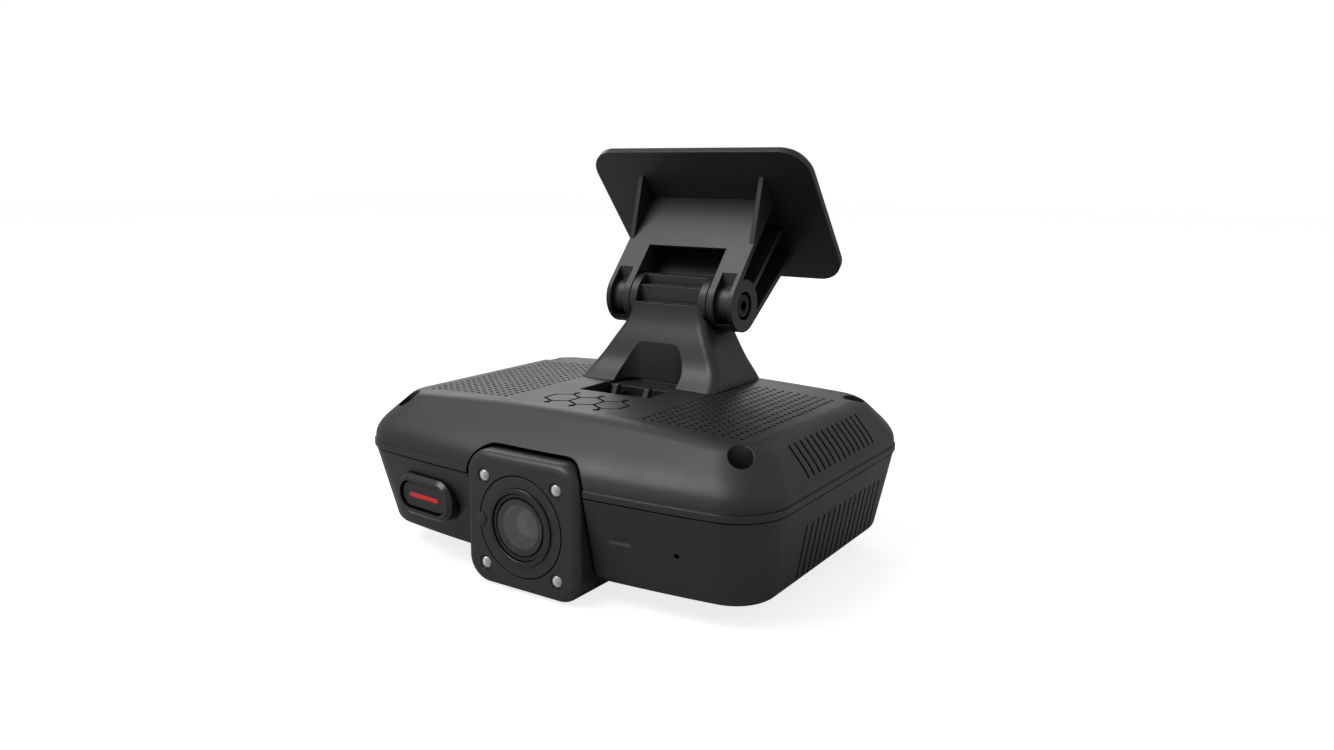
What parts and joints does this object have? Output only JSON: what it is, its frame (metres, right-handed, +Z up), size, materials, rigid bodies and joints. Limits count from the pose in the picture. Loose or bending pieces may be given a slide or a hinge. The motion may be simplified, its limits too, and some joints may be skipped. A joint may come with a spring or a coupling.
{
  "type": "dash camera",
  "caption": "Windscreen-mounted dual-lens dash camera with a tilting bracket, a tilting cabin-facing camera pod, an event button and vented housing shells.",
  "frame": {"origin": "middle of the housing in X and Y, on the housing's flat bottom face", "axes": "+X to the right for a person facing the cabin camera, +Y towards the windscreen and road, +Z up"},
  "size_m": [0.129, 0.1104, 0.1105],
  "materials": {
    "shell": "fine spark-eroded texture, black",
    "bracket": "fine moulded texture, black",
    "pod": "smooth matte, dark grey",
    "trim": "semi-gloss black",
    "button_cap": "fine matte",
    "red_light": "translucent red",
    "white_light": "translucent white",
    "lens_glass": "coated optical glass",
    "steel": "black oxide",
    "zinc_steel": "zinc plated",
    "circuit_board": "green solder mask",
    "aluminium": "anodised",
    "component": "moulded black",
    "capacitor": "shrink sleeve",
    "ceramic": "sintered",
    "foam": "acrylic foam",
    "rubber": "soft",
    "brass": "gold plated"
  },
  "bodies": {
    "bracket": {"windscreen_bracket": "bracket", "adhesive_pad": "foam", "hinge_bolt": "steel", "hinge_nut": "zinc_steel", "friction_washers": "zinc_steel"},
    "housing": {"mount_neck": "bracket", "upper_shell": "shell", "lower_shell": "shell", "housing_screws": "steel", "latch_springs": "zinc_steel", "event_button_bezel": "trim", "button_switch": "component", "button_board": "circuit_board", "status_light_pipe": "white_light", "microphone": "component", "microphone_gasket": "rubber", "road_camera_bezel": "trim", "road_lens_glass": "lens_glass", "road_lens_barrel": "component", "road_sensor_board": "circuit_board", "main_board": "circuit_board", "board_screws": "zinc_steel", "heat_sink": "aluminium", "backup_capacitors": "capacitor", "speaker": "component", "speaker_cone": "rubber", "gnss_antenna": "ceramic", "cellular_antenna": "circuit_board", "power_socket": "component", "power_pins": "brass", "card_socket": "zinc_steel", "memory_card": "component", "card_hatch_pin": "steel"},
    "cabin_camera": {"cabin_camera_housing": "pod", "cabin_camera_back": "pod", "cabin_lens_disc": "pod", "cabin_lens_bezel": "trim", "cabin_lens_barrel": "component", "cabin_lens_glass": "lens_glass", "infrared_leds": "white_light", "cabin_sensor_board": "circuit_board", "led_board": "circuit_board", "pod_pivot_pins": "steel"},
    "event_button": {"event_button_cap": "button_cap", "button_light_bar": "red_light"},
    "release_latch": {"release_latch": "bracket"},
    "card_hatch": {"card_hatch": "shell"}
  },
  "joints": [
    {"name": "mount_tilt", "type": "hinge", "parent": "bracket", "child": "housing", "pos_m": [0, 0.026, 0.0611], "axis": [1, 0, 0], "range_deg": [-30, 35]},
    {"name": "cabin_camera_tilt", "type": "hinge", "parent": "housing", "child": "cabin_camera", "pos_m": [0, -0.032, 0.013], "axis": [1, 0, 0], "range_deg": [-3, 15]},
    {"name": "event_button_press", "type": "slide", "parent": "housing", "child": "event_button", "axis": [0.0872, 0.9962, 0], "range_m": [0, 0.0008], "stiffness_N_per_m": 2500},
    {"name": "latch_release", "type": "slide", "parent": "housing", "child": "release_latch", "axis": [0, -1, 0], "range_m": [0, 0.0022], "stiffness_N_per_m": 1200, "deforming": ["latch_springs"]},
    {"name": "card_hatch_hinge", "type": "hinge", "parent": "housing", "child": "card_hatch", "pos_m": [-0.035, 0.0254, 0.0017], "axis": [1, 0, 0], "range_deg": [0, 95]}
  ]
}
